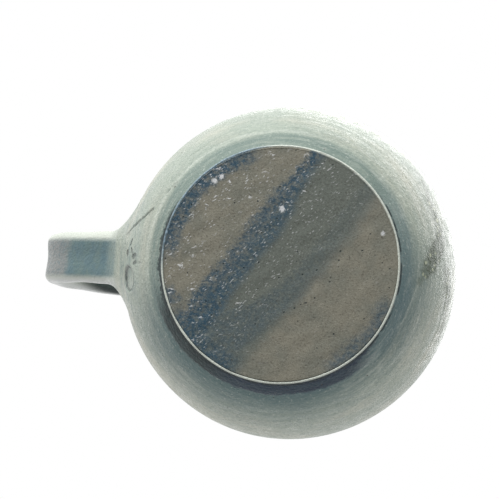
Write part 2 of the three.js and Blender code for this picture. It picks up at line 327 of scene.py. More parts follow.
class Paint:
    """A material's nodes, with one short call for each kind in use. Lengths are millimetres."""

    def __init__(self, name, **shader):
        self.material = bpy.data.materials.new(name)
        self.material.use_nodes = True
        self.tree = self.material.node_tree
        self.shader = self.tree.nodes["Principled BSDF"]
        for socket, value in shader.items():
            self.shader.inputs[socket.replace("_", " ")].default_value = value
        place = self.node("TexCoord", {}, 3)
        self.place = self.node("VectorMath", {0: place, 3: 1 / MM}, operation="SCALE")
        split = self.tree.nodes.new("ShaderNodeSeparateXYZ")
        self.tree.links.new(self.place, split.inputs[0])
        self.x, self.y, self.z = split.outputs
        squares = self.math("ADD", self.math("POWER", self.x, 2), self.math("POWER", self.y, 2))
        self.radius = self.math("SQRT", squares)

    def node(self, kind, inputs, output=0, **settings):
        made = self.tree.nodes.new("ShaderNode" + kind)
        for setting, value in settings.items():
            setattr(made, setting, value)
        for socket, value in inputs.items():
            self.feed(made.inputs[socket], value)
        return made.outputs[output]

    def feed(self, socket, value):
        if isinstance(value, bpy.types.NodeSocket):
            self.tree.links.new(value, socket)
        else:
            socket.default_value = value

    def math(self, operation, a, b=0.0, clamp=False):
        return self.node("Math", {0: a, 1: b}, operation=operation, use_clamp=clamp)

    def times(self, *values):
        total = values[0]
        for value in values[1:]:
            total = self.math("MULTIPLY", total, value)
        return total

    def plus(self, *values):
        total = values[0]
        for value in values[1:]:
            total = self.math("ADD", total, value)
        return total

    def step(self, value, low, high, to_low=0.0, to_high=1.0):
        """A smooth step from one value to another as the input goes from low to high."""
        inputs = {0: value, 1: low, 2: high, 3: to_low, 4: to_high}
        return self.node("MapRange", inputs, interpolation_type="SMOOTHSTEP")

    def band(self, value, middle, half, soft):
        """1 within half of the middle, fading out over soft."""
        away = self.math("ABSOLUTE", self.math("SUBTRACT", value, middle))
        return self.step(away, half, half + soft, 1.0, 0.0)

    def facing(self, azimuth, half, soft):
        """1 on the side of the pitcher within half of an azimuth, in degrees, fading out over soft."""
        turn = math.radians(azimuth)
        across = self.plus(self.times(self.x, math.cos(turn)), self.times(self.y, math.sin(turn)))
        cosine = self.math("DIVIDE", across, self.math("MAXIMUM", self.radius, 0.1))
        return self.step(cosine, math.cos(math.radians(half + soft)), math.cos(math.radians(half)))

    def moved(self, stretch, shift, turn=0.0, wander=0.0):
        """The place, wandering by up to wander, turned about the axis, divided by stretch and shifted."""
        place = self.place
        if wander:
            sway = self.node("TexNoise", {"Vector": place, "Scale": 0.3, "Detail": 3.0}, 1)
            sway = self.node("VectorMath", {0: sway, 1: (0.5, 0.5, 0.5)}, operation="SUBTRACT")
            sway = self.node("VectorMath", {0: sway, 3: wander * 2}, operation="SCALE")
            place = self.node("VectorMath", {0: place, 1: sway}, operation="ADD")
        if turn:
            inputs = {"Vector": place, "Angle": math.radians(turn)}
            place = self.node("VectorRotate", inputs, rotation_type="Z_AXIS")
        place = self.node("VectorMath", {0: place, 1: tuple(1 / s for s in stretch)}, operation="MULTIPLY")
        return self.node("VectorMath", {0: place, 1: shift}, operation="ADD")

    def noise(self, size, detail=3.0, stretch=(1, 1, 1), roughness=0.55, distortion=0.0, shift=(0, 0, 0)):
        """Cloudy noise from 0 to 1 whose blobs are about size across, longer where stretch is large."""
        inputs = {
            "Vector": self.moved([size * s for s in stretch], shift),
            "Scale": 1.0,
            "Detail": detail,
            "Roughness": roughness,
            "Distortion": distortion,
        }
        return self.node("TexNoise", inputs)

    def dots(self, spacing, size, share, shift=(0, 0, 0), stretch=(1, 1, 1), turn=0.0, wander=0.0):
        """Specks: one in share of the cells of a mesh of that spacing, of about that size."""
        cells = self.tree.nodes.new("ShaderNodeTexVoronoi")
        self.feed(cells.inputs["Vector"], self.moved([spacing * s for s in stretch], shift, turn, wander))
        self.feed(cells.inputs["Scale"], 1.0)
        chosen = self.math("LESS_THAN", self.node("SeparateColor", {0: cells.outputs["Color"]}), share)
        reach = size / spacing
        return self.times(self.step(cells.outputs["Distance"], 0.35 * reach, reach, 1.0, 0.0), chosen)

    def near(self, path, waver=0.0, squash=1.0):
        """The distance to a path of azimuths and heights on the wall, a little uneven where waver is set.

        Heights are multiplied by squash, which lets what follows the path spread further up and down.
        """
        place = self.moved((1, 1, 1 / squash), (0, 0, 0), wander=waver)
        ends = [on_wall(*p) * (1, 1, squash) for p in path]
        closest = None
        for start, stop in zip(ends, ends[1:]):
            reach = stop - start
            offset = self.node("VectorMath", {0: place, 1: tuple(start)}, operation="SUBTRACT")
            inputs = {0: offset, 1: tuple(reach / (reach @ reach))}
            along = self.node("VectorMath", inputs, 1, operation="DOT_PRODUCT")
            share = self.math("ADD", along, 0.0, clamp=True)
            foot = self.node("VectorMath", {0: tuple(reach), 3: share}, operation="SCALE")
            away = self.node("VectorMath", {0: offset, 1: foot}, operation="SUBTRACT")
            distance = self.node("VectorMath", {0: away}, 1, operation="LENGTH")
            closest = distance if closest is None else self.math("MINIMUM", closest, distance)
        return closest

    def mark_edge(self, middle, height, across, up, slant):
        """The painted shade on a mark under the handle: along its edge, heavier on its upper side, and over
        all of it where it is small.
        """
        behind = self.math("ARCTAN2", self.times(self.y, -1), self.times(self.x, -1))
        side = self.times(self.math("SUBTRACT", behind, math.radians(middle - 180)), self.radius)
        rise = self.math("SUBTRACT", self.z, height)
        turn = math.radians(slant)
        u = self.plus(self.times(side, math.cos(turn) / across), self.times(rise, -math.sin(turn) / across))
        v = self.plus(self.times(side, math.sin(turn) / up), self.times(rise, math.cos(turn) / up))
        reach = self.math("SQRT", self.plus(self.times(u, u), self.times(v, v)))
        upper = self.math("ADD", self.times(u, 0.45), self.times(v, 0.8), clamp=True)
        width = self.plus(0.15, self.times(self.math("POWER", upper, 3), 0.2))
        line = self.step(self.math("ABSOLUTE", self.math("SUBTRACT", reach, 0.97)), 0.02, width, 1.0, 0.0)
        line = self.times(line, self.plus(0.8, self.times(upper, 0.2)))
        if across > THUMB_SIZE:
            return line
        return self.math("MAXIMUM", line, self.step(reach, 0.7, 1.1, 0.85, 0.0))

    def mix(self, share, a, b):
        return self.node("Mix", {0: share, 6: a, 7: b}, 2, data_type="RGBA")

    def bump(self, height, distance):
        return self.node("Bump", {"Height": height, "Distance": distance * MM})

    def finish(self, colour, roughness, normal):
        self.feed(self.shader.inputs["Base Color"], colour)
        self.feed(self.shader.inputs["Roughness"], roughness)
        self.feed(self.shader.inputs["Normal"], normal)
        return self.material


def colour(red, green, blue):
    """A colour as seen on screen, 0 to 255, in the linear values that the shader takes."""
    values = [v / 255 for v in (red, green, blue)]
    return tuple(v / 12.92 if v <= 0.04045 else ((v + 0.055) / 1.055) ** 2.4 for v in values) + (1.0,)


CELADON = colour(170, 181, 168)
CREAM = colour(198, 200, 184)
SAGE = colour(116, 134, 127)
TEAL = colour(98, 124, 125)
SLATE_BLUE = colour(88, 118, 128)
INK = colour(12, 38, 42)
NAVY = colour(24, 48, 72)
OLIVE = colour(68, 84, 62)
ASH_PALE = colour(196, 204, 172)
PALE_EDGE = colour(220, 226, 216)
PALE_BLUE = colour(128, 156, 178)
IRON = colour(62, 52, 42)
ROSE_GREY = colour(150, 148, 148)
CLAY_BROWN = colour(142, 139, 125)
CLAY_GREY = colour(108, 115, 108)
CLAY_LIGHT = colour(182, 180, 168)
COBALT_STAIN = colour(38, 78, 100)
# White of the salt flecks and spots, also used for a painted highlight on the handle.
WHITE_SALT_AND_HIGHLIGHT = colour(236, 238, 240)

# Olive ash runs on the spout's side: a path of azimuths and heights, the run's half width and its strength.
ASH_RUNS = (
    (((3, 13), (-1, 17)), 1.2, 0.5),
    (((-2, 18), (-4.5, 21.5)), 3.6, 1),
    (((-5, 22), (-8, 26), (-11, 31)), 5, 1),
    (((-11, 31), (-13.5, 36), (-16.5, 38.5)), 4, 1),
    (((-16.5, 38.5), (-25, 39.5), (-29, 40)), 2.6, 0.8),
    (((-29, 40), (-33, 43.5), (-40, 50)), 1.8, 0.6),
    (((-3, 45), (3, 47.5), (8, 51)), 3.6, 0.7),
    (((8, 51), (14, 54.5), (19, 58.5)), 2.4, 0.55),
)
RUN_SQUASH = 0.5  # heights count for half in a run's distance, so the run spreads up and down the wall

# In the materials, the bare numbers of a noise or a mask are its size, where it starts and ends, in
# millimetres or in degrees for facing, and its strength.


def salt_glaze():
    paint = Paint("salt_glaze", IOR=1.5, Specular_IOR_Level=0.4)
    wisps = paint.noise(9, 4, stretch=(3.2, 3.2, 0.7), distortion=0.6)
    hairs = paint.noise(2.2, 3, stretch=(7, 7, 0.6), distortion=0.5, shift=(2.2, 5.1, 0.3))
    clouds = paint.noise(34, 3, stretch=(1.4, 1.4, 0.6), shift=(3.1, 0.4, 7.7))
    grain = paint.noise(1.5, 3, roughness=0.7)
    ragged = paint.plus(paint.times(paint.noise(8, 3), 4.0), paint.times(paint.noise(1.6, 3), 1.8))

    # Pale on the belly and darker towards the foot, sage on the far side and teal on the near side, where the
    # dark reaches higher: partly the glaze's colour and partly painted shade on the side turned from the key
    # light.
    near_shaded_side = paint.facing(75, 62, 50)
    dark = paint.mix(near_shaded_side, SAGE, TEAL)
    reach_up = paint.step(near_shaded_side, 0, 1, 40, 50)
    low = paint.times(paint.node("MapRange", {0: paint.z, 1: 9.0, 2: reach_up, 3: 1.0, 4: 0.0}),
                      paint.step(near_shaded_side, 0, 1, 0.55, 1.25))
    paler = paint.times(paint.facing(10, 40, 30), -0.24)
    dark_share = paint.plus(low, paler, paint.times(wisps, 0.6), paint.times(clouds, 0.6),
                            paint.times(hairs, 0.7), -1.2)
    skin = paint.mix(paint.step(clouds, 0.4, 0.7), CELADON, CREAM)
    skin = paint.mix(paint.math("ADD", dark_share, 0.0, clamp=True), skin, dark)

    # The bevel is darker, partly pooled glaze and partly painted shade in the hollow above the foot, and a
    # blue wash runs round the foot on the spout's side, with pale curls over it.
    spout_side = paint.facing(8, 30, 30)
    bevel = paint.times(paint.step(paint.z, BEVEL_HEIGHT - 1, BEVEL_HEIGHT + 2, 1.0, 0.0),
                        paint.step(spout_side, 0, 1, 1.0, 0.6))
    skin = paint.mix(paint.times(bevel, paint.step(hairs, 0.3, 0.6, 0.55, 0.95)), skin, dark)
    # Painted highlight: a pale line along the crest of the crease above the bevel, on the side towards the
    # light.
    crest_highlight = paint.times(paint.band(paint.z, BEVEL_HEIGHT + 3, 0.3, 2.0), paint.facing(215, 40, 40),
                        paint.step(hairs, 0.35, 0.6, 0.05, 0.4))
    skin = paint.mix(crest_highlight, skin, PALE_EDGE)
    wash = paint.times(paint.step(paint.z, 6, 13, 1.0, 0.0), paint.facing(22, 45, 26),
                       paint.step(wisps, 0.25, 0.6, 0.4, 1.0))
    skin = paint.mix(paint.times(wash, 0.5), skin, SLATE_BLUE)
    curls = paint.noise(4.5, 3, stretch=(5, 5, 0.8), distortion=1.3, shift=(0.4, 6.1, 2.9))
    curls = paint.times(paint.step(curls, 0.5, 0.66), paint.facing(-12, 60, 25),
                        paint.band(paint.z, 17, 9, 9))
    skin = paint.mix(paint.times(curls, 0.28), skin, PALE_EDGE)
    skin = paint.mix(paint.step(grain, 0.42, 0.72, 0.0, 0.45), skin, dark)
    skin = paint.mix(paint.step(grain, 0.28, 0.42, 0.4, 0.0), skin, PALE_EDGE)

    # Dark on the bevel from the handle round the near side, with a ragged dark seep near the bead: partly
    # gathered glaze and partly painted shade where the bevel faces away from the light.
    edge = paint.plus(paint.z, ragged)
    gathered_and_shade = paint.times(paint.step(edge, 9.2, 11.0, 1.0, 0.0), paint.facing(102, 44, 24))
    deep = paint.mix(paint.facing(70, 34, 22), INK, NAVY)
    skin = paint.mix(paint.times(gathered_and_shade, paint.step(hairs, 0.3, 0.62, 1.0, 0.8)), skin, deep)
    frayed = paint.plus(paint.z, paint.times(paint.noise(7, 2, shift=(3, 3, 3)), 3.0),
                        paint.times(paint.noise(1.8, 2), 5.0))
    seep_and_shade = paint.times(paint.step(frayed, 6.2, 7.4, 1.0, 0.0), paint.facing(118, 76, 12))
    skin = paint.mix(paint.times(seep_and_shade, 0.9), skin, deep)

    # The handle is blue-grey along the middle and streaked where it meets the belly. Its pale edges are
    # partly its glaze and partly a painted highlight.
    out = paint.step(paint.plus(paint.x, paint.times(wisps, 8)), -92, -83, 1.0, 0.0)
    middle = paint.step(paint.math("ABSOLUTE", paint.plus(paint.y, 1.0)), 8.0, 11.5, 1.0, 0.0)
    patches = paint.noise(7, 3, stretch=(1, 1.6, 1), shift=(1.7, 9.2, 4.1))
    strap = paint.mix(paint.step(patches, 0.38, 0.62), TEAL, SLATE_BLUE)
    rosy = paint.step(paint.plus(paint.x, paint.times(patches, 16)), -118, -108, 0.8, 0.0)
    strap = paint.mix(rosy, strap, ROSE_GREY)
    strap = paint.mix(paint.step(grain, 0.4, 0.7, 0.0, 0.6), strap, SLATE_BLUE)
    strap = paint.mix(middle, PALE_EDGE, strap)
    # Painted highlight: white along the strap's edge on the +Y side.
    strap = paint.mix(paint.step(paint.y, 8.5, 12.0), strap, WHITE_SALT_AND_HIGHLIGHT)
    skin = paint.mix(paint.times(out, 0.92), skin, strap)
    streaks = paint.noise(2.4, 3, stretch=(0.7, 4, 2), distortion=0.8, shift=(6, 6, 1))
    flare = paint.times(paint.band(paint.x, -82, 8, 8), paint.step(paint.z, 60, 80, 1.0, 0.0))
    skin = paint.mix(paint.times(flare, paint.step(streaks, 0.45, 0.65, 0.0, 0.5)), skin, TEAL)

    # Painted shade under the handle's upper arm, inside its loop.
    normal = paint.node("SeparateXYZ", {0: paint.node("NewGeometry", {}, 1)}, 2)
    under = paint.times(paint.step(normal, -0.75, -0.3, 1.0, 0.0), paint.step(paint.z, 152, 168),
                        paint.step(paint.x, -62, -52, 1.0, 0.0))
    skin = paint.mix(paint.times(under, 0.92), skin, INK)

    # Olive ash runs, beaded with pale spots, and brown iron specks all over.
    runs = None
    for path, half_width, strength in ASH_RUNS:
        away = paint.plus(paint.near(path, 1.8, RUN_SQUASH), paint.times(ragged, 0.4), -1.1)
        run = paint.step(away, 0.7 * half_width, half_width + 1.2, strength, 0.0)
        haze = paint.step(away, 0, half_width + 5, 0.22 * strength, 0.0)
        run = paint.math("MAXIMUM", run, haze)
        runs = run if runs is None else paint.math("MAXIMUM", runs, run)
    broken = paint.step(paint.noise(3.2, 3, distortion=0.6, shift=(5, 5, 2)), 0.4, 0.56, 0.62, 1.0)
    skin = paint.mix(paint.times(runs, broken, paint.step(grain, 0.25, 0.5, 0.7, 1.0)), skin, OLIVE)
    beads = paint.dots(2.4, 1.3, 0.4, shift=(2, 5, 3), stretch=(1, 1, 1.5), wander=1.0)
    skin = paint.mix(paint.times(beads, paint.step(runs, 0.45, 0.85), 0.85), skin, ASH_PALE)
    specks = paint.dots(5.5, 0.6, 0.3, wander=0.6)
    skin = paint.mix(paint.times(specks, 0.75), skin, IRON)

    # Painted shade along the edges of the marks, heavier on their upper side, and in the creases.
    mark_and_crease_shade = None
    for *mark, _ in MARKS:
        line = paint.mark_edge(*mark)
        mark_and_crease_shade = line if mark_and_crease_shade is None else paint.math("MAXIMUM", mark_and_crease_shade, line)
    for path, half_width, deep in CREASES:
        crease = paint.step(paint.near(path, 0.7), 0.1, 2 * half_width, deep, 0.0)
        mark_and_crease_shade = paint.math("MAXIMUM", mark_and_crease_shade, crease)
    skin = paint.mix(paint.times(mark_and_crease_shade, paint.step(grain, 0.3, 0.6, 0.45, 1.0), 0.9), skin, INK)

    # The bead round the base is pale, partly its glaze and partly a painted highlight, bluer and broken on
    # the far left, with a thin dark line outside it.
    bead = paint.times(paint.step(paint.radius, BASE_RADIUS + 0.3, BASE_RADIUS + 0.6, 1.0, 0.0),
                       paint.step(paint.z, 1.3, 1.7, 1.0, 0.0))
    far_left = paint.facing(218, 30, 18)
    broken = paint.step(paint.noise(1.4, 2, shift=(4.4, 2.1, 6.3)), 0.42, 0.55, 1.0, 0.5)
    skin = paint.mix(paint.times(bead, paint.mix(far_left, (1, 1, 1, 1), broken)), skin,
                     paint.mix(paint.times(far_left, 0.85), PALE_EDGE, PALE_BLUE))
    gaps = paint.step(paint.noise(6, 2, shift=(8, 3, 1)), 0.35, 0.5)
    line = paint.times(paint.band(paint.radius, BASE_RADIUS + 0.95, 0.25, 0.35), paint.facing(85, 115, 15),
                       paint.step(paint.z, 3, 4, 1.0, 0.0), gaps)
    skin = paint.mix(paint.times(line, 0.9), skin, INK)

    # Orange peel, rougher where the lower end of the handle was smoothed on.
    joint = paint.times(paint.step(paint.x, -72, -60, 1.0, 0.0), paint.band(paint.y, 0, 16, 16),
                        paint.step(paint.z, 55, 75, 1.0, 0.0))
    lumps = paint.noise(2.3, 3, roughness=0.6, shift=(6, 2, 2))
    lumps = paint.times(lumps, paint.step(joint, 0, 1, 0.0, 0.5))
    peel = paint.plus(paint.noise(1.25, 2), paint.times(paint.noise(4.2, 2), 0.8), paint.times(specks, -0.4),
                      lumps, paint.times(mark_and_crease_shade, -1.5))
    roughness = paint.step(paint.noise(6, 3), 0.3, 0.7, 0.24, 0.4)
    return paint.finish(skin, roughness, paint.bump(peel, 0.38))


WIPE_SLANT = 34.4  # degrees: the rag's streaks run at this angle to the Y axis

# Single spots on the base: their place, radius and colour.
BASE_SPOTS = (
    (13.6, 17.4, 0.9, INK),
    (8.7, 20.6, 0.6, INK),
    (47, -18, 1.3, WHITE_SALT_AND_HIGHLIGHT),
    (-31, -39, 1.6, WHITE_SALT_AND_HIGHLIGHT),
    (-34, -37, 1.9, WHITE_SALT_AND_HIGHLIGHT),
    (-27, -37.5, 1.1, WHITE_SALT_AND_HIGHLIGHT),
    (-1, -26, 1.7, WHITE_SALT_AND_HIGHLIGHT),
)


def stoneware():
    paint = Paint("stoneware_clay", IOR=1.45)
    cloud = paint.noise(14, 4, shift=(5, 1, 2))
    grit = paint.noise(1.1, 4, roughness=0.75)
    coarse_grit = paint.noise(2.6, 3, roughness=0.65, shift=(3, 3, 8))

    # The base was wiped slantwise: across is the distance from the middle, square to the wipe.
    slant = math.radians(WIPE_SLANT)
    drift = paint.times(paint.math("SUBTRACT", paint.noise(22, 2, shift=(9, 9, 9)), 0.5), 7.0)
    across = paint.plus(paint.times(paint.x, math.cos(slant)), paint.times(paint.y, math.sin(slant)), drift)
    along = paint.plus(paint.times(paint.y, math.cos(slant)), paint.times(paint.x, -math.sin(slant)))
    roughly = paint.plus(paint.times(paint.math("SUBTRACT", grit, 0.5), 5.0),
                         paint.times(paint.math("SUBTRACT", coarse_grit, 0.5), 6.0))
    ragged = paint.plus(across, roughly)

    # Brown clay, greyer between the two bands of stain.
    ground = paint.mix(paint.times(paint.step(cloud, 0.35, 0.7), 0.5), CLAY_BROWN, CLAY_GREY)
    ground = paint.mix(paint.times(paint.band(ragged, 0, 13, 8), 0.95), ground, CLAY_GREY)
    from_strong = paint.math("ABSOLUTE", paint.plus(ragged, 16.0, paint.times(along, -0.04)))
    wide = paint.step(along, -50, -5, 0.8, 5)
    strong = paint.step(paint.math("SUBTRACT", from_strong, wide), 0, 5, 1.0, 0.0)
    strong = paint.times(strong, paint.step(paint.math("ABSOLUTE", paint.plus(along, -2)), 5, 45, 0.82, 1.0))
    from_faint = paint.math("ABSOLUTE", paint.math("SUBTRACT", ragged, paint.step(along, 0, 50, 13, 0)))
    faint = paint.step(paint.math("SUBTRACT", from_faint, paint.step(along, 0, 50, 3, 8)), 0, 5, 1.0, 0.0)
    faint = paint.times(faint, paint.step(along, -45, 50, 0.15, 0.5))
    rim = paint.plus(paint.radius, paint.times(cloud, 7.0), paint.times(roughly, 0.6))
    crescent = paint.times(paint.step(rim, 50, 55), paint.facing(217, 28, 14))
    patch = paint.times(paint.step(rim, 50, 58), paint.facing(38, 16, 12), 0.7)
    corner = paint.times(paint.step(rim, 44, 57), paint.facing(130, 13, 14), 0.9)
    gather = paint.times(paint.step(rim, 47, 53), paint.facing(144, 4, 4))
    blob = paint.times(paint.step(rim, 52, 55), paint.facing(160, 3, 3), 0.8)
    stain = strong
    for other in (faint, crescent, patch, corner, gather, blob):
        stain = paint.math("MAXIMUM", stain, other)
    stain = paint.times(stain, paint.step(coarse_grit, 0.34, 0.6, 0.4, 1.0),
                        paint.step(grit, 0.3, 0.6, 0.7, 1.0))
    ground = paint.mix(stain, ground, COBALT_STAIN)

    # Dark and light grit, and white salt flecks dragged along by the rag.
    ground = paint.mix(paint.step(grit, 0.5, 0.72, 0.0, 0.6), ground, IRON)
    ground = paint.mix(paint.step(grit, 0.28, 0.44, 0.4, 0.0), ground, CLAY_LIGHT)
    salty = paint.step(paint.plus(across, paint.times(cloud, 22)), 0, 30, 1.0, 0.12)
    clustered = paint.step(paint.noise(7, 3, shift=(2, 7, 1)), 0.4, 0.58, 0.05, 1.0)
    fine = paint.dots(1.1, 0.42, 0.5, stretch=(0.7, 1.9, 90), turn=-WIPE_SLANT - 12, wander=0.8)
    coarse = paint.dots(2.6, 0.8, 0.25, shift=(4, 4, 4), stretch=(0.6, 1.9, 90), turn=-WIPE_SLANT - 40,
                        wander=2.2)
    flecks = paint.times(paint.math("MAXIMUM", paint.times(fine, 0.75), coarse), salty, clustered)
    ground = paint.mix(paint.times(flecks, 0.8), ground, WHITE_SALT_AND_HIGHLIGHT)
    pits = paint.dots(3.4, 0.55, 0.3, shift=(7, 2, 5), stretch=(1, 1, 90), wander=0.6)
    ground = paint.mix(paint.times(pits, 0.85), ground, INK)
    swaying = paint.moved((1, 1, 1), (0, 0, 0), wander=1.5)
    for x, y, radius, tint in BASE_SPOTS:
        away = paint.node("VectorMath", {0: swaying, 1: (x, y, 0)}, operation="SUBTRACT")
        away = paint.node("VectorMath", {0: away, 1: (1, 1, 0)}, operation="MULTIPLY")
        away = paint.node("VectorMath", {0: away}, 1, operation="LENGTH")
        away = paint.plus(away, paint.times(roughly, 0.4))
        ground = paint.mix(paint.step(away, 0.4 * radius, radius, 0.8, 0.0), ground, tint)
    shadow = paint.step(paint.radius, BASE_RADIUS - 1.1, BASE_RADIUS - 0.5)
    ground = paint.mix(paint.times(shadow, paint.facing(120, 85, 20), 0.75), ground, INK)

    height = paint.plus(grit, paint.times(flecks, 0.5), paint.times(pits, -0.9), paint.times(cloud, 0.6))
    roughness = paint.step(stain, 0.1, 0.9, 0.72, 0.42)
    return paint.finish(ground, roughness, paint.bump(height, 0.3))


def liner_glaze():
    paint = Paint("liner_glaze", IOR=1.5)
    cloud = paint.noise(26, 3)
    wisps = paint.noise(6, 3, stretch=(3, 3, 0.6), distortion=0.4)
    skin = paint.mix(paint.step(cloud, 0.3, 0.7), CELADON, CREAM)
    pooled = paint.step(paint.z, FLOOR_HEIGHT + 1, FLOOR_HEIGHT + 16, 0.75, 0.0)
    skin = paint.mix(paint.plus(pooled, paint.times(wisps, 0.3)), skin, TEAL)
    specks = paint.dots(6.5, 0.6, 0.3, shift=(3, 3, 3))
    skin = paint.mix(paint.times(specks, 0.7), skin, IRON)
    roughness = paint.step(cloud, 0.3, 0.7, 0.16, 0.28)
    return paint.finish(skin, roughness, paint.bump(paint.noise(3.5, 2), 0.12))


SALT_GLAZE = salt_glaze()
STONEWARE = stoneware()
LINER_GLAZE = liner_glaze()


# ---- Thrown pieces ----


def build_outer_coat():
    bead_middle = (BASE_RADIUS - 0.1, BEAD_RADIUS + 0.06)
    bead = arc(bead_middle, BEAD_RADIUS, 150, 375, 14)
    inside = inside_wall()
    inside = inside[inside[:, 1] > LINER_TOP]
    surface = np.vstack([bead, WALL, lip(), inside])
    under = sunk(surface[len(bead):], COAT)[::-2 * HIDDEN_SKIP]
    grid = thrown_grid(np.vstack([surface, under]))

    # The bead swells and thins as it goes round.
    azimuth = np.arctan2(grid[0, :, 1], grid[0, :, 0])
    swell = 1 + 0.3 * waves(azimuth, 0, 21, 9, (2, 23), (50, 90))
    middle = np.stack([bead_middle[0] * np.cos(azimuth), bead_middle[0] * np.sin(azimuth)], axis=1)
    for row in range(len(bead)):
        grid[row, :, :2] = middle + (grid[row, :, :2] - middle) * swell[:, None]
        grid[row, :, 2] = bead_middle[1] + (grid[row, :, 2] - bead_middle[1]) * np.minimum(swell, 1)

    # The thumb marks are pressed into the belly below the handle.
    x, z = grid[:, :, 0], grid[:, :, 2]
    near = (x < -BASE_RADIUS / 2) & (z > 3) & (z < BELLY_HEIGHT)
    grid[near] = pressed_in(grid[near])
    return piece("outer_glaze", grid, SALT_GLAZE, closed_rows=True)


def build_clay():
    """The whole clay body under its coats. Only its wiped base shows."""
    flat_radius = BASE_RADIUS - EDGE_ROUNDING - 0.3
    disc = np.stack([np.linspace(0.8, flat_radius, BASE_ROWS), np.zeros(BASE_ROWS)], axis=1)
    edge = arc((flat_radius, EDGE_ROUNDING), EDGE_ROUNDING, -90, 0, 8)
    skin = np.vstack([WALL, lip(), inside_wall()])
    profile = np.vstack([disc, edge, sunk(skin, CLAY_DEPTH)[1::HIDDEN_SKIP]])
    grid = thrown_grid(profile, unevenness=0)

    # The base was trimmed and wiped: faint turning rings, hollows and dragged sand.
    base = grid[: len(disc)]
    x, y = base[:, :, 0], base[:, :, 1]
    radius = np.hypot(x, y)
    azimuth = np.arctan2(y, x)
    fade = np.clip((flat_radius - radius) / 4, 0, 1)
    fine_rings = BASE_RINGS[0] * np.sin(radius * 1.7 + azimuth)
    broad_rings = BASE_RINGS[1] * np.sin(radius * 0.55 - azimuth)
    broad_lumps = BASE_LUMPS[0] * waves(x / 9, y, 31, 8, (1, 3), (9, 22))
    small_lumps = BASE_LUMPS[1] * waves(y / 4, x, 32, 8, (1, 3), (5, 14))
    base[:, :, 2] += BASE_RECESS + fade * (fine_rings + broad_rings + broad_lumps + small_lumps)
    floor = (0, 0, FLOOR_HEIGHT - CLAY_DEPTH)
    return piece("clay", grid, STONEWARE, start_pole=(0, 0, BASE_RECESS), end_pole=floor)


def build_liner():
    inside = inside_wall()
    surface = inside[inside[:, 1] <= LINER_TOP + 0.4]
    under = sunk(surface, COAT)[::-HIDDEN_SKIP]
    middle = FLOOR_HEIGHT - COAT / 2
    profile = np.vstack([surface, [[1, middle]], under])
    grid = thrown_grid(profile)
    radius = np.hypot(grid[:, :, 0], grid[:, :, 1])
    azimuth = np.arctan2(grid[:, :, 1], grid[:, :, 0])
    on_floor = np.clip((FLOOR_HEIGHT + 12 - grid[:, :, 2]) / 10, 0, 1) * np.clip((radius - 3) / 10, 0, 1)
    grid[:, :, 2] += SPIRAL_HEIGHT * on_floor * np.sin(2 * math.pi * radius / SPIRAL_PITCH - azimuth)
    return piece("liner_glaze", grid, LINER_GLAZE, closed_rows=True)


# ---- Handle ----


def handle_line(count):
    """Points evenly along the middle of the strap, from inside the neck to inside the belly."""
    line = np.vstack([
        bezier((38, 173), (64, 186), (96, 196), (113, 183), 200),
        bezier((113, 183), (126, 173), (132.5, 155), (131, 137), 200),
        bezier((131, 137), (129, 115), (104, 104), (62, 68), 200),
        [[62, 68]],
    ])
    gone = np.concatenate([[0], np.cumsum(np.linalg.norm(np.diff(line, axis=0), axis=1))])
    even = np.linspace(0, gone[-1], count)
    return np.stack([np.interp(even, gone, line[:, 0]), np.interp(even, gone, line[:, 1])], axis=1)


LINE = handle_line(LINE_POINTS)
LINE_DIRECTIONS = directions(LINE)


def strap_outline():
    """The strap's section, x across and y through, and the outward direction at each point."""
    corner = STRAP_CORNER * STRAP_THICKNESS_TOP
    across = STRAP_WIDTH_MIDDLE / 2 - corner
    through = STRAP_THICKNESS_TOP / 2 - corner
    corners = ((across, through), (-across, through), (-across, -through), (across, -through))
    arcs = [arc(middle, corner, 90 * i, 90 * i + 90, 24) for i, middle in enumerate(corners)]
    outline = np.vstack(arcs + [arcs[0][:1]])
    gone = np.concatenate([[0], np.cumsum(np.linalg.norm(np.diff(outline, axis=0), axis=1))])
    even = np.linspace(0, gone[-1], STRAP_POINTS + 1)[:-1]
    outline = np.stack([np.interp(even, gone, outline[:, 0]), np.interp(even, gone, outline[:, 1])], axis=1)
    core = np.clip(outline, (-across, -through), (across, through))
    outward = outline - core
    outward /= np.linalg.norm(outward, axis=1, keepdims=True)
    crown = STRAP_CROWN * np.cos(3 * math.pi * outline[:, 0] / STRAP_WIDTH_MIDDLE) * outward[:, 1] ** 6
    return outline - outward * crown[:, None], outward


OUTLINE, OUTLINE_OUTWARD = strap_outline()


def lean(share):
    turned = np.clip((share - LEAN_FROM) / (LEAN_TO - LEAN_FROM), 0, 1)
    return LEAN_TOP + (LEAN_BOTTOM - LEAN_TOP) * turned**2 * (3 - 2 * turned)


def strap_points(share):
    """One point of the strap's surface for each point of the outline, at a share of the strap's length."""
    share = np.full(STRAP_POINTS, share) if np.isscalar(share) else share
    place = share * (len(LINE) - 1)
    steps = np.arange(len(LINE))
    middle = [np.interp(place, steps, LINE[:, i]) for i in (0, 1)]
    along = [np.interp(place, steps, LINE_DIRECTIONS[:, i]) for i in (0, 1)]
    wide = 1 + (STRAP_WIDTH_END / STRAP_WIDTH_MIDDLE - 1) * (2 * share - 1) ** 2
    thick = 1 + (STRAP_THICKNESS_BOTTOM / STRAP_THICKNESS_TOP - 1) * share
    uneven = 1 + 0.012 * np.sin(share * 31) + 0.01 * np.sin(share * 57 + 1)
    across = lean(share) + OUTLINE[:, 0] * wide * uneven
    through = OUTLINE[:, 1] * thick * (2 - uneven)
    return np.stack([-middle[0] - through * along[1], across, middle[1] - through * along[0]], axis=-1)


